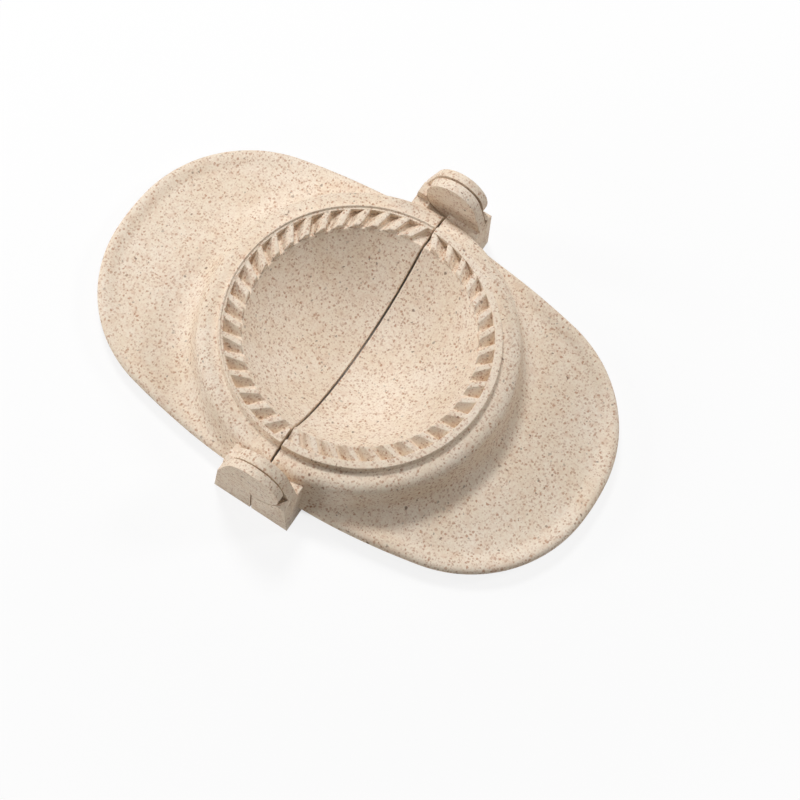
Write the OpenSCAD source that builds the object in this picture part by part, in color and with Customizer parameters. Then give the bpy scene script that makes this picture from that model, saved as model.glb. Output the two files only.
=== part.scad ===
// Empanada press, shown opened flat: two moulded half shells that fold together about one hinge line.
// +X runs along the length over both wings, +Y along the hinge, +Z up. The origin is under the middle
// of the press, on the surface that it stands on.

/* [Overall] */
// Length over both wings
length = 160; // [152:1:172]
// Width across the wings, without the hinge blocks
body_width = 96.6; // [90:0.2:106]
// Height of the ledge round the bowl above the table
ledge_height = 18; // [17.6:0.1:19]

/* [Wing outline] */
// Radius of the arc at each wing's tip
tip_arc = 71; // [64:1:80]
// Radius of the arc at each wing's shoulder
corner_arc = 41; // [36:1:44]
// Radius of the long arc along each side
side_arc = 216; // [190:1:260]

/* [Shell] */
// Wall of the collar and the wings
wall = 2; // [1.6:0.1:2.4]
// Distance from the wings' side to the edge where the ledge turns down into the collar
side_margin = 5.7; // [5:0.1:6.4]
// Radius of the rounded shoulder above the collar
shoulder_radius = 3.5; // [3:0.1:4]
// Lean of the collar's wall from upright, in degrees
collar_lean = 12; // [8:1:14]
// Radius of the hollow curve from the collar into the wing
foot_radius = 6; // [4:0.5:7]
// Drop from the ledge to the top of the wing
wing_drop = 13; // [12:0.1:13.6]
// Width of the raised border round each wing
border_width = 4.2; // [3:0.1:6]
// Height of the raised border above the wing
border_height = 1; // [0.5:0.1:1.6]
// Width of each sloping side of the raised border
border_slope = 1.2; // [0.5:0.1:1.4]

/* [Bowl] */
// Distance from the ledge's outer edge to the rim of the filling bowl
ring_width = 9.6; // [9.2:0.1:10.6]
// Depth of the filling bowl below its rim
bowl_depth = 16.3; // [14:0.1:16.4]
// Wall of the bowl
bowl_wall = 1.9; // [1.6:0.1:2]
// Height of the bowl's rim above the ledge
rim_rise = 0.4; // [0.2:0.1:0.8]
// Width of the narrow flat round the bowl's rim
rim_flat = 0.3; // [0.2:0.05:0.5]

/* [Crimping teeth] */
// Number of teeth on each half
tooth_count = 21; // [15:2:21]
// Angle from one tooth to the next, in degrees
tooth_pitch = 8.65; // [8.5:0.05:8.7]
// Width of the flat ridge of one tooth
tooth_width = 1.5; // [1.2:0.1:1.8]
// Width of the slope from each tooth's ridge down into the pocket beside it
tooth_run = 2.6; // [2.2:0.1:2.7]
// Width of the bevel along each tooth's steep side
tooth_bevel = 0.3; // [0.2:0.05:0.5]
// Slant of each tooth from straight outwards, in degrees
tooth_slant = 32; // [26:1:38]
// Height of the teeth above the bowl's rim
tooth_height = 1.55; // [1.2:0.05:1.65]
// Width of the sloping nose at each tooth's inner end
tooth_nose = 0.6; // [0.4:0.1:1.2]
// Angle by which the cutting half's teeth are moved round, in degrees
tooth_shift = 2.8; // [2:0.1:2.9]
// Drop of the pockets between the teeth from the bowl's rim to their outer wall
pocket_drop = 1.4; // [1:0.1:1.8]

/* [Cutting lip] */
// Distance from the ledge's outer edge to the foot of the cutting lip
lip_inset = 2.45; // [2:0.05:2.7]
// Height of the cutting lip's crest above the ledge
lip_height = 2.6; // [2:0.1:2.8]
// Width of the cutting lip at its foot
lip_foot = 1.2; // [1:0.1:1.5]
// Outward slope of the cutting lip's inner wall
lip_slope = 0.3; // [0.2:0.05:0.4]
// Width of the cutting lip's crest
lip_crest = 0.35; // [0.2:0.05:0.6]
// Width of the flat step inside the cutting lip
lip_step = 0.55; // [0.3:0.05:0.8]

/* [Backing rim] */
// Distance from the ledge's outer edge to the foot of the backing rim
rim_inset = 2.3; // [1.9:0.05:2.6]
// Height of the backing rim above the ledge
rim_height = 2.3; // [1.8:0.1:2.4]
// Width of the backing rim's flat top
rim_width = 2.2; // [1.8:0.1:2.6]
// Outward slope of the backing rim's outer wall
rim_slope = 0.3; // [0:0.1:0.6]

/* [Hinge] */
// How far each hinge stands out past the wings' side
hinge_reach = 5.85; // [5.5:0.05:7]
// Radius of the outer discs, on the cutting half
outer_disc = 8.6; // [8.2:0.1:8.9]
// Radius of the inner discs, on the backing half
inner_disc = 8.2; // [7.8:0.1:8.6]
// Thickness of the outer discs
outer_disc_thickness = 2.5; // [2:0.1:3]
// Thickness of the inner discs
inner_disc_thickness = 3.3; // [2.9:0.05:3.5]
// Running gap between an outer and an inner disc
disc_gap = 0.5; // [0.3:0.05:0.6]
// Gap between a disc and the socket that it turns in
socket_gap = 0.35; // [0.25:0.05:0.6]
// Radius of the pivot stud on each outer disc
stud_radius = 2.6; // [2:0.1:3.2]
// Running gap between a stud and the hole that it turns in
stud_gap = 0.05; // [0.02:0.01:0.1]
// Depth of the hole for each stud
stud_hole_depth = 1.8; // [1.5:0.05:2]
// Half width of the hinge blocks at the table
block_reach = 12.2; // [11.5:0.05:13]
// Lean of the hinge blocks' sides from upright, in degrees
block_lean = 4.6; // [2:0.1:7]
// Drop from the ledge to the flat strip beside the bowl's collar
strip_drop = 3; // [2.5:0.1:3.5]
// Drop from the ledge to the top of each socket's block
socket_drop = 0.4; // [0.2:0.1:0.8]
// Further drop of that top over the outer sockets' width, towards the hinge's outer face
socket_fall = 1.6; // [0.5:0.1:2]
// Widening of the outer sockets' radius from the hinge's outer face inwards
socket_flare = 1.6; // [0.5:0.1:1.8]
// Gap between the two halves' hinge blocks
block_gap = 0.4; // [0.3:0.05:0.8]
// Gap between the two halves along the seam
seam_gap = 0.7; // [0.4:0.05:1]

/* [Hidden] */
$fn = 96;

cutting_color = [0.89, 0.82, 0.74];
backing_color = [0.86, 0.79, 0.70];

// The two rims meet half way between their crests, less a small gap, so the hinge line lies there.
closing_gap = 0.2;
hinge_height = (lip_height + rim_height + closing_gap) / 2;
hinge_z = ledge_height + hinge_height;

// Solids that are joined run this far into each other, and cutters run this far past the surface.
bite = 0.4;
beyond = 5;

// Rings, inwards from the side
ledge_radius = body_width / 2 - side_margin;
lip_radius = ledge_radius - lip_inset;
rim_radius = ledge_radius - rim_inset;
bowl_radius = ledge_radius - ring_width;
backing_pocket = rim_radius - rim_slope - rim_width;
cutting_pocket = lip_radius - lip_foot - lip_step;
tooth_top = rim_rise + tooth_height;
pocket_floor = rim_rise - pocket_drop;

// Bowl
bowl_sphere = (bowl_radius * bowl_radius + bowl_depth * bowl_depth) / (2 * bowl_depth);
bowl_centre = rim_rise - bowl_depth + bowl_sphere;

// Collar: centres of the shoulder's arc and of the hollow foot's arc
lean_cos = cos(collar_lean);
lean_sin = sin(collar_lean);
foot_z = foot_radius - wing_drop;
shoulder_end_z = shoulder_radius * (lean_sin - 1);
foot_end_z = foot_z - foot_radius * lean_sin;
foot_x = ledge_radius + (shoulder_radius + foot_radius) * lean_cos
    + (shoulder_end_z - foot_end_z) * tan(collar_lean);
shell_reach = length / 2 + beyond;

// Wing outline: a side arc, a corner arc and a tip arc, each tangent to the next. The corner's disc
// is larger by corner_lap, so that its edge crosses the other two arcs.
side_centre = [0, body_width / 2 - side_arc];
tip_centre = [length / 2 - tip_arc, 0];
corner_lap = 0.02;
to_tip = tip_centre - side_centre;
to_tip_length = norm(to_tip);
along = to_tip / to_tip_length;
across = [along[1], -along[0]];
side_leg = side_arc - corner_arc;
tip_leg = tip_arc - corner_arc;
corner_along = (side_leg * side_leg - tip_leg * tip_leg + to_tip_length * to_tip_length)
    / (2 * to_tip_length);
corner_across = sqrt(side_leg * side_leg - corner_along * corner_along);
corner_centre = side_centre + along * corner_along + across * corner_across;
side_end = side_centre + (corner_centre - side_centre) * side_arc / side_leg;
tip_end = tip_centre + (corner_centre - tip_centre) * tip_arc / tip_leg;

// Hinge, outwards along Y
outer_face = body_width / 2 + hinge_reach;
outer_disc_y = outer_face - outer_disc_thickness;
inner_disc_y = outer_disc_y - disc_gap;
inner_face = inner_disc_y - inner_disc_thickness;
stud_tip = inner_disc_y - stud_hole_depth + disc_gap / 2;
block_start = ledge_radius + shoulder_radius - wall;
block_edge = block_gap / 2;

// Reach of a hinge block's leaning side at a height above the table
function block_side(z) = block_reach - z * tan(block_lean);

// Point where a straight line from p touches a circle of radius r about the hinge line
function touch(p, r) = let (
    d = [p[0], p[1] - hinge_z],
    a = atan2(d[1], d[0]) + acos(r / norm(d))
) [r * cos(a), hinge_z + r * sin(a)];

// Everything below the shell's top surface, or below that surface sunk by inset, as a half section
module under_shell(inset, floor_z) {
    shoulder_arc = shoulder_radius - inset;
    foot_arc = foot_radius + inset;
    difference() {
        union() {
            polygon([
                [0, floor_z],
                [0, -inset],
                [ledge_radius, -inset],
                [ledge_radius + shoulder_arc * lean_cos, shoulder_arc * lean_sin - shoulder_radius],
                [foot_x - foot_arc * lean_cos, foot_z - foot_arc * lean_sin],
                [foot_x, foot_z],
                [foot_x, -wing_drop - inset],
                [shell_reach, -wing_drop - inset],
                [shell_reach, floor_z]
            ]);
            translate([ledge_radius, -shoulder_radius])
                circle(r = shoulder_arc);
        }
        translate([foot_x, foot_z])
            circle(r = foot_arc);
    }
}

// The wing outline from above, as a solid from z = 0 up to height, whose edge lies inset inside the
// wing's own at the bottom and leans further in by lean at the top
module outline(height, inset = 0, lean = 0) {
    intersection() {
        intersection_for(centre = [side_centre, -side_centre])
            translate(centre)
                leaning_disc(side_arc - inset, lean, height, 720);
        translate([0, -body_width, 0])
            cube([side_end[0], 2 * body_width, height]);
    }
    for (way = [-1, 1])
        translate([corner_centre[0], way * corner_centre[1], 0])
            leaning_disc(corner_arc + corner_lap - inset, lean, height, 360);
    intersection() {
        translate(tip_centre)
            leaning_disc(tip_arc - inset, lean, height, 720);
        translate([0, -tip_end[1], 0])
            cube([length, 2 * tip_end[1], height]);
    }
}

module leaning_disc(r, lean, height, steps) {
    cylinder(r1 = r, r2 = r - lean, h = height, $fn = steps);
}

// Raised border: a ridge with sloping sides along the wing's edge
module border() {
    difference() {
        outline(border_height, 0, border_slope);
        translate([0, 0, -border_height])
            outline(3 * border_height, border_width + border_slope, -3 * border_slope);
    }
}

// Shell of one half on the +X side, with its bowl but without its ring, teeth and hinge blocks
module shell() {
    intersection() {
        union() {
            rotate_extrude()
                difference() {
                    under_shell(0, -ledge_height);
                    under_shell(wall, -ledge_height - beyond);
                }
            intersection() {
                translate([0, 0, bowl_centre])
                    sphere(r = bowl_sphere + bowl_wall);
                translate([0, 0, -ledge_height])
                    cylinder(r = ledge_radius, h = ledge_height + rim_rise);
            }
        }
        translate([0, 0, -ledge_height])
            outline(ledge_height + rim_rise);
    }
    difference() {
        translate([0, 0, -wing_drop])
            border();
        translate([0, 0, -ledge_height])
            cylinder(r = foot_x, h = ledge_height);
    }
}

// Ring inside the ledge: a floor that falls outwards from the bowl's rim to the pockets' outer wall,
// and a raised profile outside that wall
module ring(pocket, profile) {
    rotate_extrude()
        polygon(concat(
            [
                [bowl_radius - wall, pocket_floor - wall],
                [bowl_radius - wall, rim_rise],
                [bowl_radius + rim_flat, rim_rise],
                [pocket, pocket_floor]
            ],
            profile,
            [[profile[len(profile) - 1][0], pocket_floor - wall]]
        ));
}

// One tooth along X: a ridge with a steep side and a long slope, which runs on below the pocket's floor
module tooth(reach) {
    half_width = tooth_width / 2;
    fall = (tooth_top - pocket_floor) / tooth_run;
    slope_run = tooth_run + bite;
    translate([-reach / 2, 0, 0])
        rotate([90, 0, 90])
            linear_extrude(height = reach)
                polygon([
                    [-half_width - slope_run, pocket_floor - wall],
                    [half_width, pocket_floor - wall],
                    [half_width, tooth_top - tooth_bevel],
                    [half_width - tooth_bevel, tooth_top],
                    [-half_width, tooth_top],
                    [-half_width - slope_run, tooth_top - fall * slope_run]
                ]);
}

// Slanted teeth between the bowl's rim and the pockets' outer wall
module teeth(pocket, shift) {
    middle = (bowl_radius + pocket) / 2;
    reach = (pocket - bowl_radius + 2 * (tooth_width + tooth_run)) / cos(tooth_slant);
    last = (tooth_count - 1) / 2;
    foot = pocket_floor - wall / 2;
    intersection() {
        union()
            for (i = [-last : last])
                rotate([0, 0, i * tooth_pitch + shift])
                    translate([middle, 0, 0])
                        rotate([0, 0, tooth_slant])
                            tooth(reach);
        rotate_extrude()
            polygon([
                [bowl_radius + rim_flat / 2, foot],
                [bowl_radius + rim_flat / 2, rim_rise],
                [bowl_radius + rim_flat / 2 + tooth_nose, tooth_top + bite],
                [pocket + bite, tooth_top + bite],
                [pocket + bite, foot]
            ]);
    }
}

// Shell, ring and teeth of one half, on the +X side of the seam and at their height over the table
module half(pocket, profile, shift) {
    intersection() {
        translate([0, 0, ledge_height]) {
            difference() {
                union() {
                    shell();
                    ring(pocket, profile);
                }
                translate([0, 0, bowl_centre])
                    sphere(r = bowl_sphere);
            }
            teeth(pocket, shift);
        }
        translate([seam_gap / 2, -outer_face, 0])
            cube([length, 2 * outer_face, 2 * ledge_height]);
    }
}

// A section in X and Z, made solid from y0 to y1
module slab(y0, y1) {
    translate([0, y1, 0])
        rotate([90, 0, 0])
            linear_extrude(height = y1 - y0)
                children();
}

// Section of a hinge block up to top_z
module block_section(top_z) {
    polygon([
        [block_edge, 0],
        [block_side(0), 0],
        [block_side(top_z), top_z],
        [block_edge, top_z]
    ]);
}

// Section of a hinge block that carries a disc, with the straight slope from the disc to its corner
module disc_section(r) {
    corner = [block_side(ledge_height - strip_drop), ledge_height - strip_drop];
    translate([0, hinge_z])
        circle(r = r);
    polygon([
        [block_edge, 0],
        [block_side(0), 0],
        corner,
        touch(corner, r),
        [0, hinge_z],
        [block_edge, hinge_z - r / 2]
    ]);
}

// A round bar or cone along Y on the hinge line, with radius r0 at y0 and r1 at y1
module on_hinge(y0, y1, r0, r1) {
    translate([0, y1, hinge_z])
        rotate([90, 0, 0])
            cylinder(r1 = r1, r2 = r0, h = y1 - y0);
}

// Block with the flared socket for the other half's outer disc, its top falling outwards
module outer_socket() {
    width = outer_face - inner_disc_y;
    top_z = ledge_height - socket_drop;
    mouth = outer_disc + socket_gap;
    difference() {
        slab(inner_disc_y, outer_face)
            block_section(ledge_height);
        on_hinge(outer_face - 2 * width, outer_face + width, mouth + 2 * socket_flare, mouth - socket_flare);
        translate([0, inner_disc_y, top_z])
            rotate([-atan2(socket_fall, width), 0, 0])
                translate([0, -width, 0])
                    cube([block_reach, 3 * width, beyond]);
    }
}

// One hinge end of the backing half, on its +X side: inner disc, and socket for the outer disc
module backing_hinge() {
    hole_radius = stud_radius + stud_gap;
    slab(block_start, inner_face + bite)
        block_section(ledge_height - strip_drop);
    difference() {
        slab(inner_face, inner_disc_y)
            disc_section(inner_disc);
        on_hinge(inner_disc_y - stud_hole_depth, inner_disc_y + beyond, hole_radius, hole_radius);
    }
    outer_socket();
}

// One hinge end of the cutting half, as if on the +X side: outer disc with its stud, and the socket
// for the inner disc, which runs on through the strip to the collar
module cutting_hinge() {
    socket_radius = inner_disc + socket_gap;
    difference() {
        union() {
            slab(block_start, inner_face)
                block_section(ledge_height - strip_drop);
            slab(inner_face, outer_disc_y)
                block_section(ledge_height - socket_drop);
        }
        on_hinge(block_start - beyond, outer_disc_y + beyond, socket_radius, socket_radius);
    }
    slab(outer_disc_y, outer_face)
        disc_section(outer_disc);
    on_hinge(stud_tip, outer_disc_y + bite, stud_radius, stud_radius);
}

// Half with the raised cutting lip and the outer discs, on the -X side
module cutting_half() {
    color(cutting_color)
        mirror([1, 0, 0]) {
            half(cutting_pocket, [
                [cutting_pocket, tooth_top],
                [lip_radius - lip_foot, tooth_top],
                [lip_radius - lip_foot + lip_slope, lip_height],
                [lip_radius - lip_foot + lip_slope + lip_crest, lip_height],
                [lip_radius, 0]
            ], -tooth_shift);
            for (way = [0, 1])
                mirror([0, way, 0])
                    cutting_hinge();
        }
}

// Half with the flat backing rim and the inner discs, on the +X side
module backing_half() {
    color(backing_color) {
        half(backing_pocket, [
            [backing_pocket, rim_height],
            [rim_radius - rim_slope, rim_height],
            [rim_radius, 0]
        ], 0);
        for (way = [0, 1])
            mirror([0, way, 0])
                backing_hinge();
    }
}

cutting_half();
backing_half();
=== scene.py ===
"""Empanada press of speckled straw plastic, opened flat on a pale table.

The two moulded halves are built from one section that is turned about the bowl's centre and drawn
out to the wing's outline. All sizes are in metres, in the frame of the solid model.
"""

import math

import bmesh
import bpy
import numpy as np
from bpy.props import FloatProperty, FloatVectorProperty, IntProperty, PointerProperty
from mathutils import Matrix, Vector


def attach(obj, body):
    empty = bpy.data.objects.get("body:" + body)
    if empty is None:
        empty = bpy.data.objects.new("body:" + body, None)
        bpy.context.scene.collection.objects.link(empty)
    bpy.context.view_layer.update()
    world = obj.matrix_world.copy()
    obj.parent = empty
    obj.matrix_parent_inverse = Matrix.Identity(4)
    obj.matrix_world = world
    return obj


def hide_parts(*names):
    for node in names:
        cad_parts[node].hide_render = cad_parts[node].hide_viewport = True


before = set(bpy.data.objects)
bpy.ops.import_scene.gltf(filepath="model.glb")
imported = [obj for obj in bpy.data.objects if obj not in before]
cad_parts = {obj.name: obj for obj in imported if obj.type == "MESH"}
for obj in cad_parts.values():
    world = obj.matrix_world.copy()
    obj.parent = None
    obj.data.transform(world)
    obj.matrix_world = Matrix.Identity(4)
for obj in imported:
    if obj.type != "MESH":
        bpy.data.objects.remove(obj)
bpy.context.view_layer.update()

bl_info = {
    "name": "Empanada Press",
    "version": (1, 0, 0),
    "blender": (4, 5, 0),
    "location": "3D View > Sidebar > Press",
    "description": "Builds a folding pastry press with crimping teeth and speckled plastic",
    "category": "Object",
}

MM = 0.001
CUTTING = "cutting"
BACKING = "backing"

# Small roundings of the shells' section
BOWL_EDGE = 0.12 * MM
POCKET_FILLET = 0.25 * MM
STEP_EDGE = 0.15 * MM
LIP_ROOT = 0.08 * MM
LIP_INSIDE = 0.12 * MM
LIP_OUTSIDE = 0.15 * MM
RIM_INSIDE = 0.2 * MM
RIM_OUTSIDE = 0.3 * MM
LEDGE_FILLET = 0.3 * MM
UNDER_BOWL = 0.8 * MM
UNDER_RING = 0.4 * MM

# How finely the shells' grid is drawn
TURN_STEPS = 181
BOWL_STEPS = 44
DOME_STEPS = 40
SHOULDER_STEPS = 10
UNDER_SHOULDER_STEPS = 6
FOOT_STEPS = 12
WALL_STEPS = 8
WING_STEPS = 30
BORDER_STEPS = 12
EDGE_STEPS = 8
WING_CROWDING = 1.6
SEAM_ANGLES = (math.pi / 2, math.pi / 3, math.pi / 6)

# The border's slope, as shares of its width
BORDER_FOOT = 1.5
BORDER_RUN = 1.1

# Play and overlap between parts that meet
TOOTH_SKIRT = 0.2 * MM
TOOTH_BITE = 0.2 * MM
TOOTH_TRIM = 0.02 * MM
STUD_PLAY = 0.05 * MM

# Tolerances of the mesh work
MERGE = 0.002 * MM
TINY = 0.001 * MM
WELD = 0.01 * MM

# Flecks, as shares of their length: how reach grows with the pick, the soft edge, and the palest fleck
FLECK_SPREAD = 0.25
FLECK_REACH = 0.42
FLECK_EDGE = (-0.04, 0.12)
FLECK_PALEST = 0.35

# Stage: the picture, the table, and each lamp's azimuth, elevation and width in softnesses
PICTURE = 800
SENSOR = 36
FLOOR_REACH = 3
HIDDEN_EDGE = 5 * MM
LAMPS = (
    ("key", 138, 58, 1),
    ("side", 195, 25, 1),
    ("back", 45, 38, 1),
    ("front", 240, 10, 1),
    ("top", 0, 78, 3),
)


def size(label, about, millimetres):
    """A length that the user can change, given in millimetres."""
    return FloatProperty(name=label, description=about, default=millimetres * MM, unit="LENGTH", precision=5)


def turn(label, about, degrees):
    """An angle that the user can change, given in degrees."""
    return FloatProperty(name=label, description=about, default=math.radians(degrees), subtype="ANGLE")


def share(label, about, value):
    """A plain factor that the user can change."""
    return FloatProperty(name=label, description=about, default=value)


def paint(label, about, value):
    """A colour that the user can change, in linear values."""
    return FloatVectorProperty(name=label, description=about, default=value, subtype="COLOR",
                               size=3, min=0, max=1)


class PressShellSizes(bpy.types.PropertyGroup):
    """Sizes of the two half shells."""

    length: size("Length", "Length over both wings", 160)
    body_width: size("Body width", "Width across the wings", 96.6)
    tip_arc: size("Tip arc", "Radius at each wing's tip", 71)
    corner_arc: size("Corner arc", "Radius at each wing's shoulder", 41)
    side_arc: size("Side arc", "Radius of the long arc along each side", 216)
    ledge_height: size("Ledge height", "Height of the ledge above the table", 18)
    wall: size("Wall", "Wall of the collar and the wings", 2)
    ledge_radius: size("Ledge radius", "Where the ledge turns down into the collar", 42.6)
    shoulder_radius: size("Shoulder radius", "Rounding above the collar", 3.5)
    collar_lean: turn("Collar lean", "Lean of the collar's wall", 12)
    foot_radius: size("Foot radius", "Hollow curve from the collar into the wing", 6)
    wing_drop: size("Wing drop", "Drop from the ledge to the wing", 13)
    border_width: size("Border width", "Width of the raised border", 4.2)
    border_height: size("Border height", "Height of the raised border", 1)
    edge_radius: size("Edge radius", "Rounding of the wing's edge", 1.5)
    bowl_radius: size("Bowl radius", "Radius of the bowl at its rim", 33)
    bowl_depth: size("Bowl depth", "Depth of the bowl below its rim", 16.3)
    bowl_wall: size("Bowl wall", "Wall of the bowl", 1.9)
    rim_rise: size("Rim rise", "Height of the bowl's rim above the ledge", 0.4)
    rim_flat: size("Rim flat", "Width of the narrow flat round the bowl's rim", 0.3)
    pocket_drop: size("Pocket drop", "Drop of the pockets' floor from the rim outwards", 1.4)
    seam_gap: size("Seam gap", "Gap between the two halves", 0.7)
    seam_round: size("Seam rounding", "Rounding of the edges along the seam", 0.25)


class PressRingSizes(bpy.types.PropertyGroup):
    """Sizes of the crimping teeth, the cutting lip and the backing rim."""

    tooth_count: IntProperty(name="Teeth", description="Teeth on each half", default=21, min=3, max=25)
    tooth_pitch: turn("Tooth pitch", "Angle from one tooth to the next", 8.65)
    tooth_shift: turn("Tooth shift", "Turn of the cutting half's teeth", 2.8)
    tooth_width: size("Tooth width", "Width of the ridge of one tooth", 1.5)
    tooth_run: size("Tooth run", "Width of the slope from each ridge down into the pocket", 2.6)
    tooth_round: size("Tooth rounding", "Rounding of each tooth's upper edges", 0.35)
    tooth_slant: turn("Tooth slant", "Slant of each tooth from straight outwards", 32)
    tooth_height: size("Tooth height", "Height above the bowl's rim", 1.55)
    tooth_nose: size("Tooth nose", "Width of the slope at the inner end", 0.6)
    lip_radius: size("Lip radius", "Outer radius of the cutting lip", 40.15)
    lip_height: size("Lip height", "Height of the cutting lip above the ledge", 2.6)
    lip_foot: size("Lip foot", "Width of the cutting lip at its foot", 1.2)
    lip_slope: size("Lip slope", "Outward slope of the cutting lip's inner wall", 0.3)
    lip_crest: size("Lip crest", "Width of the cutting lip's crest", 0.35)
    lip_step: size("Lip step", "Width of the step inside the cutting lip", 0.55)
    rim_radius: size("Rim radius", "Outer radius of the backing rim", 40.3)
    rim_height: size("Rim height", "Height of the backing rim above the ledge", 2.3)
    rim_width: size("Rim width", "Width of the backing rim's top", 2.2)
    rim_slope: size("Rim slope", "Outward slope of the backing rim's wall", 0.3)


class PressHingeSizes(bpy.types.PropertyGroup):
    """Sizes of the hinge blocks, discs and studs."""

    hinge_width: size("Hinge width", "Distance between the hinges' outer faces", 108.3)
    hinge_rise: size("Hinge rise", "Height of the hinge line above the ledge", 2.55)
    outer_disc: size("Outer disc", "Radius of the outer discs", 8.6)
    inner_disc: size("Inner disc", "Radius of the inner discs", 8.2)
    outer_thickness: size("Outer thickness", "Thickness of the outer discs", 2.5)
    inner_thickness: size("Inner thickness", "Thickness of the inner discs", 3.3)
    disc_gap: size("Disc gap", "Gap between an outer and an inner disc", 0.5)
    socket_gap: size("Socket gap", "Gap round a disc in its socket", 0.35)
    stud_radius: size("Stud radius", "Radius of the pivot studs", 2.6)
    stud_reach: size("Stud reach", "Length of the pivot studs", 2.05)
    block_reach: size("Block reach", "Half width of a block at the table", 12.2)
    block_lean: turn("Block lean", "Lean of the blocks' sides", 4.6)
    block_start: size("Block start", "Where a block starts inside the collar", 44.1)
    strip_drop: size("Strip drop", "Drop from the ledge to the strip beside the collar", 3)
    block_gap: size("Block gap", "Gap between the two halves' blocks", 0.4)
    socket_drop: size("Socket drop", "Drop from the ledge to a socket's block", 0.4)
    socket_fall: size("Socket fall", "Further drop of the outer sockets' top, outwards", 1.6)
    socket_flare: size("Socket flare", "Widening of the outer sockets, inwards", 1.6)
    edge: size("Edge rounding", "Rounding of the hinge's edges", 0.25)


class PressLook(bpy.types.PropertyGroup):
    """Colours of the plastic."""

    plastic: paint("Plastic", "Colour of the plastic between its flecks", (0.84, 0.72, 0.57))
    cloud: paint("Cloud", "Colour of the paler clouds in the plastic", (0.89, 0.785, 0.655))
    stain: paint("Stain", "Colour of the reddish stains in the plastic", (0.68, 0.47, 0.335))
    tan_fleck: paint("Tan flecks", "Colour of the many brown flecks", (0.44, 0.215, 0.12))
    dark_fleck: paint("Dark flecks", "Colour of the few dark flecks", (0.15, 0.08, 0.048))
    roughness: share("Roughness", "Roughness of the moulded surface", 0.55)


class PressStage(bpy.types.PropertyGroup):
    """Camera, floor and lights."""

    azimuth: turn("Azimuth", "Turn of the camera round the press", 23.463)
    elevation: turn("Elevation", "Height angle of the camera", 67.495)
    roll: turn("Roll", "Roll of the camera about its own axis", 10.309)
    distance: size("Distance", "Distance from the camera to the press", 474.864)
    focal_pixels: share("Focal length", "Focal length in pixels of a picture 800 wide", 1692.68)
    centre_right: size("Aim right", "Camera's sideways aim", 0.063)
    centre_up: size("Aim up", "Camera's upward aim", 0.806)
    axis_right: share("Axis right", "Optical axis from the picture's left edge, in pixels", 360)
    axis_down: share("Axis down", "Optical axis from the picture's top edge, in pixels", 338)
    floor: paint("Floor", "Colour of the table", (0.95, 0.95, 0.95))
    bounce: paint("Bounce", "Colour of the light that the table gives back to the press", (0.8, 0.76, 0.7))
    floor_white: share("Floor white", "How far the table is seen as plain white", 0.85)
    hidden: size("Hidden floor", "Radius under the press inside which the table stays plain", 44.5)
    white_far: size("White floor", "Radius beyond which the table is seen as fully white", 300)
    key: share("Key light", "Strength of the main light, from the far left", 1.7)
    side: share("Side light", "Strength of the low light from the left", 0.95)
    back: share("Back light", "Strength of the light from the far right", 0.75)
    front: share("Front light", "Strength of the weak light from the front", 0.65)
    top: share("Top light", "Strength of the light from overhead", 0.45)
    lamp_distance: size("Lamp distance", "Distance from the lamps to the press", 800)
    softness: turn("Softness", "Angle that each light seems to fill", 14)
    sky: share("Sky light", "Strength of the even light from all round", 0.03)


# ---------------------------------------------------------------- sections

def arc(centre, radius, start, end, steps):
    """Points of an arc in a plane, from one angle to another."""
    angles = np.linspace(start, end, steps)
    return [(centre[0] + radius * math.cos(a), centre[1] + radius * math.sin(a)) for a in angles]


def rounded(corners, steps=5):
    """A line through corners, each given as (x, y, radius), with every corner rounded to its radius."""
    line = [corners[0][:2]]
    for before, here, after in zip(corners, corners[1:], corners[2:]):
        point = Vector(here[:2])
        back = Vector(before[:2]) - point
        ahead = Vector(after[:2]) - point
        bend = math.pi - back.angle(ahead)
        if here[2] == 0 or bend < 0.01:
            line.append(tuple(point))
            continue
        cut = min(here[2] * math.tan(bend / 2), 0.49 * back.length, 0.49 * ahead.length)
        first = point + back.normalized() * cut
        last = point + ahead.normalized() * cut
        for t in np.linspace(0, 1, steps):
            line.append(tuple(first * (1 - t) ** 2 + point * (2 * t * (1 - t)) + last * t ** 2))
    line.append(corners[-1][:2])
    return line


def spread(line, count):
    """The same line with its points spread evenly along its length."""
    line = np.array(line)
    along = np.concatenate([[0], np.cumsum(np.linalg.norm(np.diff(line, axis=0), axis=1))])
    places = np.linspace(0, along[-1], count)
    return [tuple(p) for p in np.column_stack([np.interp(places, along, line[:, i]) for i in (0, 1)])]


def bowl_centre(s):
    """Radius and centre height of the sphere that the bowl is part of."""
    radius = (s.bowl_radius ** 2 + s.bowl_depth ** 2) / (2 * s.bowl_depth)
    return radius, s.rim_rise - s.bowl_depth + radius


def foot_centre(s):
    """Centre of the hollow curve between the collar and the wing."""
    lean = s.collar_lean
    height = s.foot_radius - s.wing_drop
    drop = s.shoulder_radius * (math.sin(lean) - 1) - height + s.foot_radius * math.sin(lean)
    reach = s.ledge_radius + (s.shoulder_radius + s.foot_radius) * math.cos(lean) + drop * math.tan(lean)
    return reach, height


def lip_corners(s, r):
    """Corners of the cutting half's ring, from the pockets out to the ledge."""
    top = s.rim_rise + r.tooth_height
    pocket = r.lip_radius - r.lip_foot - r.lip_step
    foot = r.lip_radius - r.lip_foot
    crest = foot + r.lip_slope
    return pocket, [
        (pocket, s.rim_rise - s.pocket_drop, POCKET_FILLET),
        (pocket, top, STEP_EDGE),
        (foot, top, LIP_ROOT),
        (crest, r.lip_height, LIP_INSIDE),
        (crest + r.lip_crest, r.lip_height, LIP_OUTSIDE),
        (r.lip_radius, 0, LEDGE_FILLET),
    ]


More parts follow.
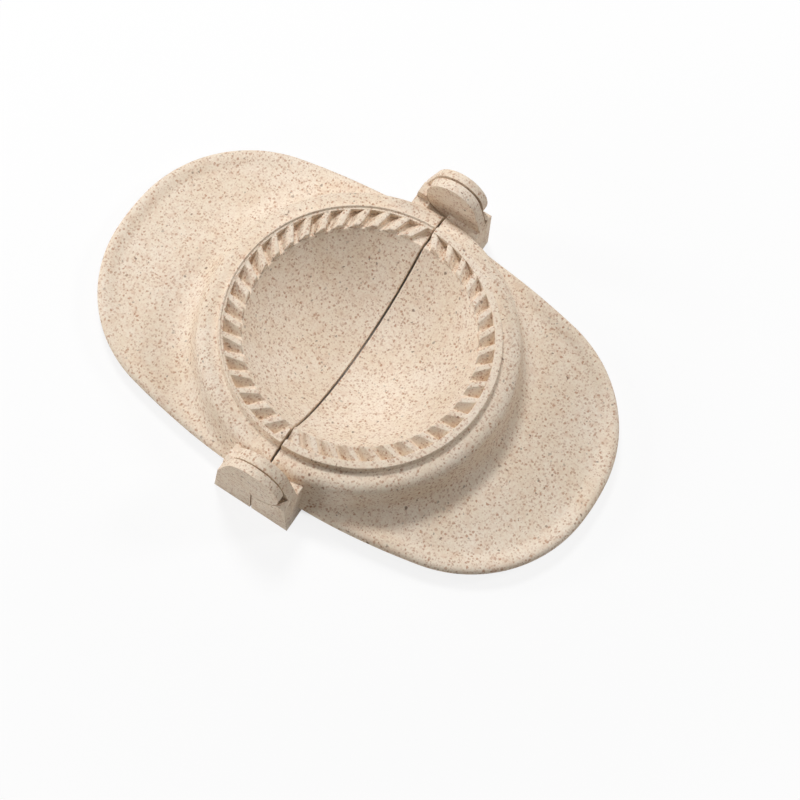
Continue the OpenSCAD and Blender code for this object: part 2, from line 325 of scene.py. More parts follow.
def rim_corners(s, r):
    """Corners of the backing half's ring, from the pockets out to the ledge."""
    shoulder = r.rim_radius - r.rim_slope
    pocket = shoulder - r.rim_width
    return pocket, [
        (pocket, s.rim_rise - s.pocket_drop, POCKET_FILLET),
        (pocket, r.rim_height, RIM_INSIDE),
        (shoulder, r.rim_height, RIM_OUTSIDE),
        (r.rim_radius, 0, LEDGE_FILLET),
    ]


def top_section(s, ring, start):
    """Upper surface from the seam's pole to the foot of the collar's wall."""
    sphere, centre = bowl_centre(s)
    rim_angle = math.asin(s.bowl_radius / sphere)
    bowl = arc((0, centre), sphere, math.asin(start / sphere) - math.pi / 2, rim_angle - math.pi / 2,
               BOWL_STEPS)
    rim = [(s.bowl_radius + out, s.rim_rise, BOWL_EDGE) for out in (0, s.rim_flat)]
    floor = rounded([(*bowl[-2], 0), *rim, *ring, (s.ledge_radius, 0, 0)])
    shoulder = arc((s.ledge_radius, -s.shoulder_radius), s.shoulder_radius, math.pi / 2, s.collar_lean,
                   SHOULDER_STEPS)
    reach, height = foot_centre(s)
    foot = (reach - s.foot_radius * math.cos(s.collar_lean), height - s.foot_radius * math.sin(s.collar_lean))
    wall = spread([shoulder[-1], foot], WALL_STEPS)
    return bowl[:-2] + floor[:-1] + shoulder[:-1] + wall


def under_section(s, start, end, ring_end, count):
    """Lower surface from the seam's pole to radius end, with count points and a thicker ring."""
    sphere, centre = bowl_centre(s)
    sphere += s.bowl_wall
    ring_low = s.rim_rise - s.pocket_drop - s.wall
    meet = math.sqrt(sphere ** 2 - (centre - ring_low) ** 2)
    dome = arc((0, centre), sphere, math.asin(start / sphere) - math.pi / 2,
               math.asin(meet / sphere) - math.pi / 2, DOME_STEPS)
    turned = s.shoulder_radius - s.wall
    ledge = rounded([
        (*dome[-2], 0),
        (meet, ring_low, UNDER_BOWL),
        (ring_end, ring_low, UNDER_RING),
        (ring_end, -s.wall, UNDER_RING),
        (s.ledge_radius, -s.wall, 0),
    ])
    shoulder = arc((s.ledge_radius, -s.shoulder_radius), turned, math.pi / 2, s.collar_lean,
                   UNDER_SHOULDER_STEPS)
    reach, height = foot_centre(s)
    radius = s.foot_radius + s.wall
    last = math.pi + math.acos((reach - end) / radius)
    foot = arc((reach, height), radius, math.pi + s.collar_lean, last, FOOT_STEPS)
    return spread(dome[:-2] + ledge[:-1] + shoulder + foot, count)


# ---------------------------------------------------------------- wing outline

def wing_arcs(s):
    """The three tangent arcs of a wing's outline, and where they meet."""
    side = np.array([0, s.body_width / 2 - s.side_arc])
    tip = np.array([s.length / 2 - s.tip_arc, 0])
    leg_side = s.side_arc - s.corner_arc
    leg_tip = s.tip_arc - s.corner_arc
    apart = np.linalg.norm(tip - side)
    along = (tip - side) / apart
    across = np.array([along[1], -along[0]])
    step = (leg_side ** 2 - leg_tip ** 2 + apart ** 2) / (2 * apart)
    corner = side + along * step + across * math.sqrt(leg_side ** 2 - step ** 2)
    side_end = side + (corner - side) * s.side_arc / leg_side
    tip_end = tip + (corner - tip) * s.tip_arc / leg_tip
    return side, corner, tip, side_end, tip_end


def outline_reach(s, angle):
    """Distance from the bowl's centre to the outline at an angle, and the outline's slant there."""
    side, corner, tip, side_end, tip_end = wing_arcs(s)
    ray = np.stack([np.cos(angle), np.abs(np.sin(angle))])
    steep = np.arctan2(ray[1], ray[0])
    on_side = steep > math.atan2(side_end[1], side_end[0])
    on_tip = steep < math.atan2(tip_end[1], tip_end[0])
    centre = np.where(on_side, side[:, None], np.where(on_tip, tip[:, None], corner[:, None]))
    radius = np.where(on_side, s.side_arc, np.where(on_tip, s.tip_arc, s.corner_arc))
    toward = (ray * centre).sum(axis=0)
    reach = toward + np.sqrt(toward ** 2 - (centre ** 2).sum(axis=0) + radius ** 2)
    slant = ((ray * reach - centre) * ray).sum(axis=0) / radius
    return reach, slant


def edge_distance(s, x, y):
    """How far points lie inside the wing's outline."""
    side, corner, tip, side_end, tip_end = wing_arcs(s)
    y = np.abs(y)
    on_side = np.arctan2(y - side[1], x) > math.atan2(side_end[1] - side[1], side_end[0])
    on_tip = np.arctan2(y, x - tip[0]) < math.atan2(tip_end[1], tip_end[0] - tip[0])
    corner_gap = s.corner_arc - np.hypot(x - corner[0], y - corner[1])
    side_gap = s.side_arc - np.hypot(x, y - side[1])
    tip_gap = s.tip_arc - np.hypot(x - tip[0], y)
    return np.clip(np.where(on_side, side_gap, np.where(on_tip, tip_gap, corner_gap)), 0, None)


# ---------------------------------------------------------------- half shell

def border_rise(s, inside):
    """Height of the raised border at a distance inside the outline."""
    t = np.clip((BORDER_FOOT * s.border_width - inside) / (BORDER_RUN * s.border_width), 0, 1)
    return s.border_height * t * t * (3 - 2 * t)


def wing_top(s, radius, inside):
    """Upper surface beyond the collar's wall: hollow foot, flat wing and raised border."""
    reach, height = foot_centre(s)
    run = np.clip(reach - radius, 0, s.foot_radius)
    foot = height - np.sqrt(s.foot_radius ** 2 - run ** 2) + s.wing_drop
    return np.hypot(foot, border_rise(s, inside)) - s.wing_drop


def wing_under(s, radius):
    """Lower surface beyond the collar's wall."""
    reach, height = foot_centre(s)
    turned = s.foot_radius + s.wall
    run = np.clip(reach - radius, 0, turned)
    return height - np.sqrt(turned ** 2 - run ** 2)


def shell_grid(s, ring):
    """Grids of points of a half's upper and lower surfaces, on the +X side, rows from pole to edge."""
    half_gap = s.seam_gap / 2
    pole = half_gap + s.seam_round
    top = np.array(top_section(s, ring, pole))
    wall_foot = top[-1, 0]
    under = np.array(under_section(s, pole, wall_foot, ring[-1][0], len(top)))

    turns = np.linspace(-1, 1, TURN_STEPS)
    angle = turns * math.acos(pole / wall_foot)
    reach, slant = outline_reach(s, angle)

    band = BORDER_FOOT * s.border_width
    strip = np.minimum(band / slant, 0.6 * (reach - wall_foot))
    open_steps = np.linspace(0, 1, WING_STEPS)[1:-1] ** WING_CROWDING
    flat_steps = np.linspace(1, s.edge_radius / band, BORDER_STEPS)
    round_steps = s.edge_radius / band * (1 - np.sin(np.linspace(0, math.pi / 2, EDGE_STEPS)))[1:]
    outer = [wall_foot + (reach - strip - wall_foot) * t for t in open_steps]
    outer += [reach - strip * t for t in flat_steps]
    outer += [reach - strip * t for t in round_steps]
    outer = np.array(outer)

    inner_rows = np.repeat(top[:, :1], len(turns), axis=1)
    under_rows = np.repeat(under[:, :1], len(turns), axis=1)
    extra = len(SEAM_ANGLES)

    def widened(values):
        """The same rows with their end values repeated for the seam's extra columns."""
        return np.hstack([np.repeat(values[:, :1], extra, axis=1), values,
                          np.repeat(values[:, -1:], extra, axis=1)])

    def places(rows):
        """X and Y of rows of radii, with the seam's extra columns at both ends."""
        edge = np.arccos(np.clip(pole / rows, -1, 1))
        x = rows * np.cos(edge * turns)
        y = rows * np.sin(edge * turns)
        left = [half_gap + s.seam_round * (1 - math.sin(a)) for a in SEAM_ANGLES]
        before = np.repeat(np.array([left]), len(rows), axis=0)
        return np.hstack([before, x, before[:, ::-1]]), widened(y)

    rows = np.vstack([inner_rows, outer])
    x, y = places(rows)
    under_x, under_y = places(np.vstack([under_rows, outer]))
    inside = edge_distance(s, x, y)
    inside[-1] = 0
    radius = widened(rows)

    z_outer = wing_top(s, radius[len(top):], inside[len(top):])
    z_under = wing_under(s, radius[len(top):])
    thick = np.clip((wing_top(s, radius[-1], inside[-1]) - wing_under(s, radius[-1])) / 2, 0, s.edge_radius)
    fall = thick - np.sqrt(thick ** 2 - (thick - np.minimum(inside[len(top):], thick)) ** 2)
    z_top = np.vstack([np.repeat(top[:, 1:], x.shape[1], axis=1), z_outer - fall])
    z_low = np.vstack([np.repeat(under[:, 1:], x.shape[1], axis=1), z_under + fall])

    seam = half_gap + s.seam_round - np.minimum(x, half_gap + s.seam_round)
    z_top = z_top - (s.seam_round - np.sqrt(np.clip(s.seam_round ** 2 - seam ** 2, 0, None)))
    return np.stack([x, y, z_top], axis=-1), np.stack([under_x, under_y, z_low], axis=-1)


def grid_faces(rows, columns, offset, flip):
    """Quads of a grid of points."""
    faces = []
    for i in range(rows - 1):
        for j in range(columns - 1):
            a = offset + i * columns + j
            quad = (a, a + columns, a + columns + 1, a + 1)
            faces.append(quad[::-1] if flip else quad)
    return faces


def shell_mesh(name, s, ring, lift):
    """Closed mesh of one half shell on the +X side."""
    top, low = shell_grid(s, ring)
    rows, columns = top.shape[:2]
    points = np.concatenate([top.reshape(-1, 3), low.reshape(-1, 3)])
    points[:, 2] += lift
    below = rows * columns
    faces = grid_faces(rows, columns, 0, False) + grid_faces(rows, columns, below, True)
    last = (rows - 1) * columns
    for j in range(columns - 1):
        faces.append((last + j, below + last + j, below + last + j + 1, last + j + 1))
    for column in (0, columns - 1):
        seam = [i * columns + column for i in range(rows)]
        faces.append(seam + [below + point for point in reversed(seam)])
    mesh = bpy.data.meshes.new(name)
    mesh.from_pydata(points.tolist(), [], faces)
    return mesh


# ---------------------------------------------------------------- meshes and objects

def finish_mesh(mesh, mirrored=False, sharp=40):
    """Merges doubles, turns faces outwards and marks sharp edges. A mirrored mesh goes to the -X side."""
    work = bmesh.new()
    work.from_mesh(mesh)
    if mirrored:
        bmesh.ops.scale(work, vec=(-1, 1, 1), verts=work.verts)
    bmesh.ops.remove_doubles(work, verts=work.verts, dist=MERGE)
    bmesh.ops.dissolve_degenerate(work, edges=work.edges, dist=TINY)
    bmesh.ops.recalc_face_normals(work, faces=work.faces)
    work.to_mesh(mesh)
    work.free()
    mesh.shade_smooth()
    mesh.set_sharp_from_angle(angle=math.radians(sharp))


def add_piece(name, mesh, material, body):
    """Puts a mesh in the scene as a piece that rides on a body."""
    piece = bpy.data.objects.new(name, mesh)
    bpy.context.scene.collection.objects.link(piece)
    mesh.materials.clear()
    mesh.materials.append(material)
    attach(piece, body)
    return piece


def applied(piece):
    """Turns an object's modifiers into plain mesh."""
    evaluated = piece.evaluated_get(bpy.context.evaluated_depsgraph_get())
    mesh = bpy.data.meshes.new_from_object(evaluated)
    piece.modifiers.clear()
    return mesh


# ---------------------------------------------------------------- nodes

def fill(tree, socket, value):
    """Links a socket to another one, or sets it to a plain value."""
    if isinstance(value, bpy.types.NodeSocket):
        tree.links.new(value, socket)
    else:
        socket.default_value = value


def maths(tree, operation, first, second):
    """Result of a sum of two numbers or sockets."""
    node = tree.nodes.new("ShaderNodeMath")
    node.operation = operation
    fill(tree, node.inputs[0], first)
    fill(tree, node.inputs[1], second)
    return node.outputs["Value"]


def vector_maths(tree, operation, *values):
    """Outputs of a sum of vectors."""
    node = tree.nodes.new("ShaderNodeVectorMath")
    node.operation = operation
    for socket, value in zip(node.inputs, values):
        fill(tree, socket, value)
    return node.outputs


def remapped(tree, value, low, high, to_low=0, to_high=1):
    """A value taken from one range to another."""
    node = tree.nodes.new("ShaderNodeMapRange")
    for socket, number in zip(node.inputs, (value, low, high, to_low, to_high)):
        fill(tree, socket, number)
    return node.outputs["Result"]


def mixed(tree, factor, under, over):
    """A colour between two colours."""
    node = tree.nodes.new("ShaderNodeMix")
    node.data_type = "RGBA"
    for place, value in ((0, factor), (6, under), (7, over)):
        fill(tree, node.inputs[place], value)
    return node.outputs[2]


def noise(tree, where, scale, detail):
    """Outputs of a noise pattern of some scale."""
    node = tree.nodes.new("ShaderNodeTexNoise")
    for name, value in (("Vector", where), ("Scale", scale), ("Detail", detail)):
        fill(tree, node.inputs[name], value)
    return node.outputs


def add_sockets(tree, inputs, output, kind):
    """Names a group's inputs and its output."""
    for name, input_kind in inputs:
        tree.interface.new_socket(name, in_out="INPUT", socket_type="NodeSocket" + input_kind)
    tree.interface.new_socket(output, in_out="OUTPUT", socket_type="NodeSocket" + kind)


# ---------------------------------------------------------------- teeth

def tooth_mesh(s, r, pocket):
    """One slanted tooth at angle 0: a ridge with a steep side, a long slope and a nose at the bowl's rim."""
    half_width = r.tooth_width / 2
    top = s.rim_rise + r.tooth_height
    fall = r.tooth_height + s.pocket_drop
    lean = math.atan2(fall, r.tooth_run)
    low = top - r.tooth_round
    slope = [(-half_width - r.tooth_run * t, top - fall * t) for t in (1.15, 0.8, 0.5)]
    crown = arc((r.tooth_round * math.tan(lean / 2) - half_width, low), r.tooth_round,
                math.pi / 2 + lean, math.pi / 2, 5)
    crown += arc((half_width - r.tooth_round, low), r.tooth_round, math.pi / 2, 0, 6)
    middle = (s.bowl_radius + pocket) / 2
    inner = s.bowl_radius + s.rim_flat / 2
    outer = pocket + TOOTH_BITE
    along = np.array([math.cos(r.tooth_slant), math.sin(r.tooth_slant)])
    across = np.array([-along[1], along[0]])
    steps = np.concatenate([np.linspace(0, 0.2, 9), np.linspace(0.2, 1, 12)[1:]])

    def bottom(radius):
        """Height of the pockets' floor at a radius."""
        fall = (radius - s.bowl_radius - s.rim_flat) / (pocket - s.bowl_radius - s.rim_flat)
        return s.rim_rise - s.pocket_drop * min(max(fall, 0), 1)

    section = [(y, z, False) for y, z in slope + crown]
    section += [(half_width, TOOTH_SKIRT, True), (half_width + TOOTH_SKIRT, -TOOTH_SKIRT, True)]
    points = []
    for offset, height, on_floor in section:
        base = np.array([middle, 0]) + across * offset
        toward = base @ along
        ends = [-toward + math.sqrt(toward ** 2 - base @ base + radius ** 2) for radius in (inner, outer)]
        for t in steps:
            x, y = base + along * (ends[0] + (ends[1] - ends[0]) * t)
            radius = math.hypot(x, y)
            nose = min((radius - inner) / r.tooth_nose, 1)
            rise = s.rim_rise + r.tooth_height * math.sqrt(max(nose * (2 - nose), 0))
            points.append((x, y, min(bottom(radius) + height if on_floor else height, rise)))
    rows, columns = len(section), len(steps)
    faces = grid_faces(rows, columns, 0, False)
    faces += [(j, j + 1, (rows - 1) * columns + j + 1, (rows - 1) * columns + j) for j in range(columns - 1)]
    faces.append([i * columns for i in range(rows)])
    faces.append([i * columns + columns - 1 for i in range(rows - 1, -1, -1)])
    mesh = bpy.data.meshes.new("tooth")
    mesh.from_pydata(points, [], faces)
    finish_mesh(mesh, sharp=50)
    return mesh


def ring_of_teeth_tree():
    """Geometry nodes that repeat a tooth round the ring."""
    tree = bpy.data.node_groups.new("Ring of teeth", "GeometryNodeTree")
    inputs = (("Tooth", "Geometry"), ("Count", "Int"), ("Pitch", "Float"), ("Shift", "Float"),
              ("Lift", "Float"), ("Material", "Material"))
    add_sockets(tree, inputs, "Geometry", "Geometry")
    nodes = tree.nodes
    given = nodes.new("NodeGroupInput").outputs
    index = nodes.new("GeometryNodeInputIndex").outputs["Index"]
    last = maths(tree, "SUBTRACT", given["Count"], 1)
    from_middle = maths(tree, "SUBTRACT", index, maths(tree, "DIVIDE", last, 2))
    angle = maths(tree, "ADD", maths(tree, "MULTIPLY", from_middle, given["Pitch"]), given["Shift"])
    turned = nodes.new("ShaderNodeCombineXYZ")
    place = nodes.new("ShaderNodeCombineXYZ")
    points = nodes.new("GeometryNodePoints")
    copies = nodes.new("GeometryNodeInstanceOnPoints")
    realize = nodes.new("GeometryNodeRealizeInstances")
    finish = nodes.new("GeometryNodeSetMaterial")
    output = nodes.new("NodeGroupOutput")
    for value, socket in (
        (angle, turned.inputs["Z"]),
        (given["Lift"], place.inputs["Z"]),
        (given["Count"], points.inputs["Count"]),
        (place.outputs["Vector"], points.inputs["Position"]),
        (points.outputs["Points"], copies.inputs["Points"]),
        (given["Tooth"], copies.inputs["Instance"]),
        (turned.outputs["Vector"], copies.inputs["Rotation"]),
        (copies.outputs["Instances"], realize.inputs["Geometry"]),
        (realize.outputs["Geometry"], finish.inputs["Geometry"]),
        (given["Material"], finish.inputs["Material"]),
        (finish.outputs["Geometry"], output.inputs["Geometry"]),
    ):
        tree.links.new(value, socket)
    return tree


def trim_at_seam(mesh, gap):
    """Cuts away what reaches past the seam and closes the cut."""
    work = bmesh.new()
    work.from_mesh(mesh)
    everything = work.verts[:] + work.edges[:] + work.faces[:]
    cut = bmesh.ops.bisect_plane(work, geom=everything, dist=TINY, plane_co=(gap, 0, 0),
                                 plane_no=(1, 0, 0), clear_inner=True)
    edges = [item for item in cut["geom_cut"] if isinstance(item, bmesh.types.BMEdge)]
    bmesh.ops.holes_fill(work, edges=edges)
    work.to_mesh(mesh)
    work.free()


# ---------------------------------------------------------------- hinges

def slab_mesh(section, y_start, y_end, last=None):
    """A closed outline in X and Z, made solid from one Y to another, where it may have another form."""
    work = bmesh.new()
    near = [work.verts.new((x, y_start, z)) for x, z in section]
    far = [work.verts.new((x, y_end, z)) for x, z in last or section]
    work.faces.new(near)
    work.faces.new(far[::-1])
    for i, _ in enumerate(section):
        j = (i + 1) % len(section)
        work.faces.new((near[i], far[i], far[j], near[j]))
    bmesh.ops.recalc_face_normals(work, faces=work.faces)
    mesh = bpy.data.meshes.new("slab")
    work.to_mesh(mesh)
    work.free()
    return mesh


def block_side(h, z):
    """Reach of a block's leaning side at a height above the table."""
    return h.block_reach - z * math.tan(h.block_lean)


def block_corners(h, top):
    """Outline of a block up to a height."""
    seam = h.block_gap / 2
    return [(seam, 0), (block_side(h, 0), 0), (block_side(h, top), top), (seam, top)]


def disc_outline(s, h, radius):
    """Outline of a block that carries a disc, with the straight slope from the disc to its corner."""
    axis = s.ledge_height + h.hinge_rise
    seam = h.block_gap / 2
    corner_z = s.ledge_height - h.strip_drop
    corner = (block_side(h, corner_z), corner_z)
    away = (corner[0], corner[1] - axis)
    touch = math.atan2(away[1], away[0]) + math.acos(radius / math.hypot(*away))
    below = -math.acos(seam / radius)
    disc = arc((0, axis), radius, touch, 2 * math.pi + below, 72)
    return [(seam, 0), (block_side(h, 0), 0), corner] + disc


def socket_outline(s, h, radius, top):
    """Outline of a block up to a height, with a round socket of some radius about the hinge line."""
    axis = s.ledge_height + h.hinge_rise
    seam = h.block_gap / 2
    low = -math.acos(seam / radius)
    high = math.asin((top - axis) / radius)
    socket = arc((0, axis), radius, high, low, 28)
    return [(seam, 0), (block_side(h, 0), 0), (block_side(h, top), top)] + socket


def round_outline(s, h, radius):
    """Outline of a round bar on the hinge line."""
    return arc((0, s.ledge_height + h.hinge_rise), radius, 0, 2 * math.pi, 49)[:-1]


def joined_solid(name, parts, cuts, edge):
    """One mesh from overlapping parts, less the cuts, with its edges rounded."""
    body = bpy.data.objects.new(name, parts[0])
    others = [(mesh, "UNION") for mesh in parts[1:]] + [(mesh, "DIFFERENCE") for mesh in cuts]
    tools = []
    bpy.context.scene.collection.objects.link(body)
    for mesh, operation in others:
        tool = bpy.data.objects.new(name + "_tool", mesh)
        bpy.context.scene.collection.objects.link(tool)
        tools.append(tool)
        step = body.modifiers.new(operation, "BOOLEAN")
        step.operation = operation
        step.solver = "EXACT"
        step.object = tool
    weld = body.modifiers.new("Weld", "WELD")
    weld.merge_threshold = WELD
    bevel = body.modifiers.new("Rounded edges", "BEVEL")
    bevel.width = edge
    bevel.segments = 3
    bevel.limit_method = "ANGLE"
    bevel.angle_limit = math.radians(28)
    bevel.use_clamp_overlap = True
    mesh = applied(body)
    for thing in [body] + tools:
        bpy.data.objects.remove(thing)
    return mesh


def hinge_layers(h):
    """Where the hinge's layers start and end, outwards from the bowl."""
    outer_face = h.hinge_width / 2
    outer_start = outer_face - h.outer_thickness
    inner_end = outer_start - h.disc_gap
    inner_start = inner_end - h.inner_thickness
    return inner_start, inner_end, outer_start, outer_face


def backing_hinge_mesh(s, h):
    """Inner disc, and a flared socket for the outer disc, on the +X side at the far end."""
    inner_start, inner_end, outer_start, outer_face = hinge_layers(h)
    mouth = h.outer_disc + h.socket_gap
    top = s.ledge_height - h.socket_drop
    parts = [
        slab_mesh(disc_outline(s, h, h.inner_disc), inner_start, inner_end),
        slab_mesh(block_corners(h, s.ledge_height - h.strip_drop), h.block_start, inner_start),
        slab_mesh(socket_outline(s, h, mouth + h.socket_flare, top), inner_end, outer_face,
                  socket_outline(s, h, mouth, top - h.socket_fall)),
    ]
    hole = slab_mesh(round_outline(s, h, h.stud_radius), inner_end - h.stud_reach, inner_end + h.disc_gap)
    return joined_solid("backing_hinge", parts, [hole], h.edge)


def cutting_hinge_mesh(s, h):
    """Outer disc with its stud, and a socket that runs on through the strip, as if on the +X side."""
    inner_start, inner_end, outer_start, outer_face = hinge_layers(h)
    radius = h.inner_disc + h.socket_gap
    parts = [
        slab_mesh(disc_outline(s, h, h.outer_disc), outer_start, outer_face),
        slab_mesh(socket_outline(s, h, radius, s.ledge_height - h.socket_drop), inner_start, outer_start),
        slab_mesh(socket_outline(s, h, radius, s.ledge_height - h.strip_drop), h.block_start, inner_start),
        slab_mesh(round_outline(s, h, h.stud_radius - STUD_PLAY), outer_start - h.stud_reach,
                  outer_face - h.edge),
    ]
    return joined_solid("cutting_hinge", parts, [], h.edge)


# ---------------------------------------------------------------- material

def fleck_group():
    """Shader group: a mask of scattered flecks of one size."""
    group = bpy.data.node_groups.new("Straw flecks", "ShaderNodeTree")
    inputs = (("Fleck length", "Float"), ("Amount", "Float"), ("Offset", "Vector"))
    add_sockets(group, inputs, "Mask", "Float")
    nodes = group.nodes
    given = nodes.new("NodeGroupInput").outputs
    length = given["Fleck length"]
    where = nodes.new("ShaderNodeTexCoord").outputs["Object"]
    moved = vector_maths(group, "ADD", where, given["Offset"])["Vector"]
    scale = maths(group, "DIVIDE", 1, length)
    warp = noise(group, moved, scale, 1)["Color"]
    warp_reach = nodes.new("ShaderNodeCombineXYZ")
    for socket in warp_reach.inputs:
        fill(group, socket, length)
    bent = vector_maths(group, "MULTIPLY_ADD", warp, warp_reach.outputs["Vector"], moved)["Vector"]
    cells = nodes.new("ShaderNodeTexVoronoi")
    for name, value in (("Vector", bent), ("Scale", scale), ("Randomness", 1)):
        fill(group, cells.inputs[name], value)
    pick = nodes.new("ShaderNodeSeparateColor")
    fill(group, pick.inputs[0], cells.outputs["Color"])
    chosen = maths(group, "SUBTRACT", given["Amount"], pick.outputs["Red"])
    reach = remapped(group, chosen, 0, FLECK_SPREAD, 0, FLECK_REACH)
    inside = maths(group, "SUBTRACT", reach, cells.outputs["Distance"])
    edge = remapped(group, inside, *FLECK_EDGE)
    depth = remapped(group, pick.outputs["Green"], 0, 1, FLECK_PALEST, 1)
    output = nodes.new("NodeGroupOutput")
    fill(group, output.inputs["Mask"], maths(group, "MULTIPLY", edge, depth))
    return group


def straw_plastic(look):
    """Speckled straw plastic: pale clouds, many tan flecks and a few dark ones, softly moulded."""
    title = "Straw plastic"
    if title in bpy.data.materials:
        return bpy.data.materials[title]
    material = bpy.data.materials.new(title)
    material.use_nodes = True
    tree = material.node_tree
    shader = tree.nodes["Principled BSDF"]
    where = tree.nodes.new("ShaderNodeTexCoord").outputs["Object"]
    group = fleck_group()

    def spots(scale, detail, *ends):
        """Mask or value of soft spots, between the ends of a range of noise."""
        return remapped(tree, noise(tree, where, scale, detail)["Fac"], *ends)

    def flecks(length, amount, offset):
        """Mask of flecks of a length, with the share of the places that hold one."""
        node = tree.nodes.new("ShaderNodeGroup")
        node.node_tree = group
        for name, value in (("Fleck length", length), ("Amount", amount), ("Offset", offset)):
            node.inputs[name].default_value = value
        return node.outputs["Mask"]

    colour = mixed(tree, spots(90, 3, 0.35, 0.65), (*look.plastic, 1), (*look.cloud, 1))
    # Layers from the bottom up: mask, strength and colour
    for mask, strength, over in (
        (spots(440, 2, 0.5, 0.72), 0.36, look.stain),
        (spots(1900, 2, 0.42, 0.66), 0.36, look.stain),
        (flecks(1.0 * MM, 0.75, (0.03, 0.01, 0.02)), 0.75, look.tan_fleck),
        (flecks(0.66 * MM, 0.62, (0.07, 0.05, 0.01)), 0.6, look.tan_fleck),
        (flecks(1.25 * MM, 0.22, (0.01, 0.09, 0.05)), 0.8, look.dark_fleck),
    ):
        colour = mixed(tree, maths(tree, "MULTIPLY", mask, strength), colour, (*over, 1))
    fill(tree, shader.inputs["Base Color"], colour)
    rough = spots(700, 2, 0.3, 0.7, look.roughness - 0.06, look.roughness + 0.08)
    fill(tree, shader.inputs["Roughness"], rough)
    bump = tree.nodes.new("ShaderNodeBump")
    grain = noise(tree, where, 1500, 2)["Fac"]
    for name, value in (("Strength", 0.12), ("Distance", 0.15 * MM), ("Height", grain)):
        fill(tree, bump.inputs[name], value)
    fill(tree, shader.inputs["Normal"], bump.outputs["Normal"])
    shader.inputs["Specular IOR Level"].default_value = 0.15
    return material


# ---------------------------------------------------------------- operators

class PRESS_OT_half_shells(bpy.types.Operator):
    """Build the two half shells with their bowls, rings, collars and wings"""

    bl_idname = "press.half_shells"
    bl_label = "Half Shells"

    def execute(self, context):
        s, r = context.scene.press_shell, context.scene.press_ring
        plastic = straw_plastic(context.scene.press_look)
        for name, body, corners, mirrored in (
            ("cutting_shell", CUTTING, lip_corners(s, r)[1], True),
            ("backing_shell", BACKING, rim_corners(s, r)[1], False),
        ):
            mesh = shell_mesh(name, s, corners, s.ledge_height)
            finish_mesh(mesh, mirrored)
            piece = add_piece(name, mesh, plastic, body)
            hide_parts(body + "_half")
        return {"FINISHED"}


class PRESS_OT_teeth(bpy.types.Operator):
    """Build the slanted crimping teeth round each half of the bowl"""

    bl_idname = "press.teeth"
    bl_label = "Crimping Teeth"

    def execute(self, context):
        s, r = context.scene.press_shell, context.scene.press_ring
        plastic = straw_plastic(context.scene.press_look)
        tree = ring_of_teeth_tree()
        socket = {item.name: item.identifier for item in tree.interface.items_tree if item.in_out == "INPUT"}
        for name, body, pocket, shift, mirrored in (
            ("cutting_teeth", CUTTING, lip_corners(s, r)[0], -r.tooth_shift, True),
            ("backing_teeth", BACKING, rim_corners(s, r)[0], 0.0, False),
        ):
            maker = bpy.data.objects.new(name + "_maker", tooth_mesh(s, r, pocket))
            nodes = maker.modifiers.new("Ring", "NODES")
            nodes.node_group = tree
            for key, value in (("Count", r.tooth_count), ("Pitch", r.tooth_pitch), ("Shift", shift),
                               ("Lift", s.ledge_height), ("Material", plastic)):
                nodes[socket[key]] = value
            context.scene.collection.objects.link(maker)
            mesh = applied(maker)
            bpy.data.objects.remove(maker)
            trim_at_seam(mesh, s.seam_gap / 2 + TOOTH_TRIM)
            finish_mesh(mesh, mirrored, sharp=50)
            add_piece(name, mesh, plastic, body)
        return {"FINISHED"}


class PRESS_OT_hinges(bpy.types.Operator):
    """Build the hinge blocks, sockets, discs and studs at both ends of the hinge line"""

    bl_idname = "press.hinges"
    bl_label = "Hinges"

    def execute(self, context):
        s, h = context.scene.press_shell, context.scene.press_hinge
        plastic = straw_plastic(context.scene.press_look)
        makers = ((CUTTING, cutting_hinge_mesh, True), (BACKING, backing_hinge_mesh, False))
        for body, maker, mirrored in makers:
            for end, way in (("far", 1), ("near", -1)):
                mesh = maker(s, h)
                mesh.transform(Matrix.Scale(way, 4, (0, 1, 0)))
                finish_mesh(mesh, mirrored, sharp=35)
                add_piece(f"{body}_hinge_{end}", mesh, plastic, body)
        return {"FINISHED"}


class PRESS_OT_stage(bpy.types.Operator):
    """Build the table, the soft lights and the camera"""

    bl_idname = "press.stage"
    bl_label = "Stage"

    def execute(self, context):
        stage = context.scene.press_stage
        add_camera(context.scene, stage, context.scene.press_shell.ledge_height)
        add_floor(context.scene, stage)
        add_lights(context.scene, stage)
        return {"FINISHED"}


def add_camera(scene, stage, ledge):
    """Camera at the picture's viewing angle, from its azimuth, elevation, roll and distance."""
    az, el, roll = stage.azimuth, stage.elevation, stage.roll
    level = Vector((math.cos(az), math.sin(az), 0))
    forward = Vector((-math.sin(az) * math.cos(el), math.cos(az) * math.cos(el), -math.sin(el)))
    upward = level.cross(forward)
    right = math.cos(roll) * level + math.sin(roll) * upward
    up = -math.sin(roll) * level + math.cos(roll) * upward
    place = -stage.distance * forward - stage.centre_right * right - stage.centre_up * up
    place.z += ledge
    camera = bpy.data.objects.new("camera", bpy.data.cameras.new("camera"))
    axes = Matrix((right, up, -forward)).transposed().to_4x4()
    camera.matrix_world = Matrix.Translation(place) @ axes
    camera.data.sensor_width = SENSOR
    camera.data.lens = stage.focal_pixels / PICTURE * SENSOR
    camera.data.shift_x = 0.5 - stage.axis_right / PICTURE
    camera.data.shift_y = stage.axis_down / PICTURE - 0.5
    camera.data.clip_start = 0.01
    scene.collection.objects.link(camera)
    scene.camera = camera


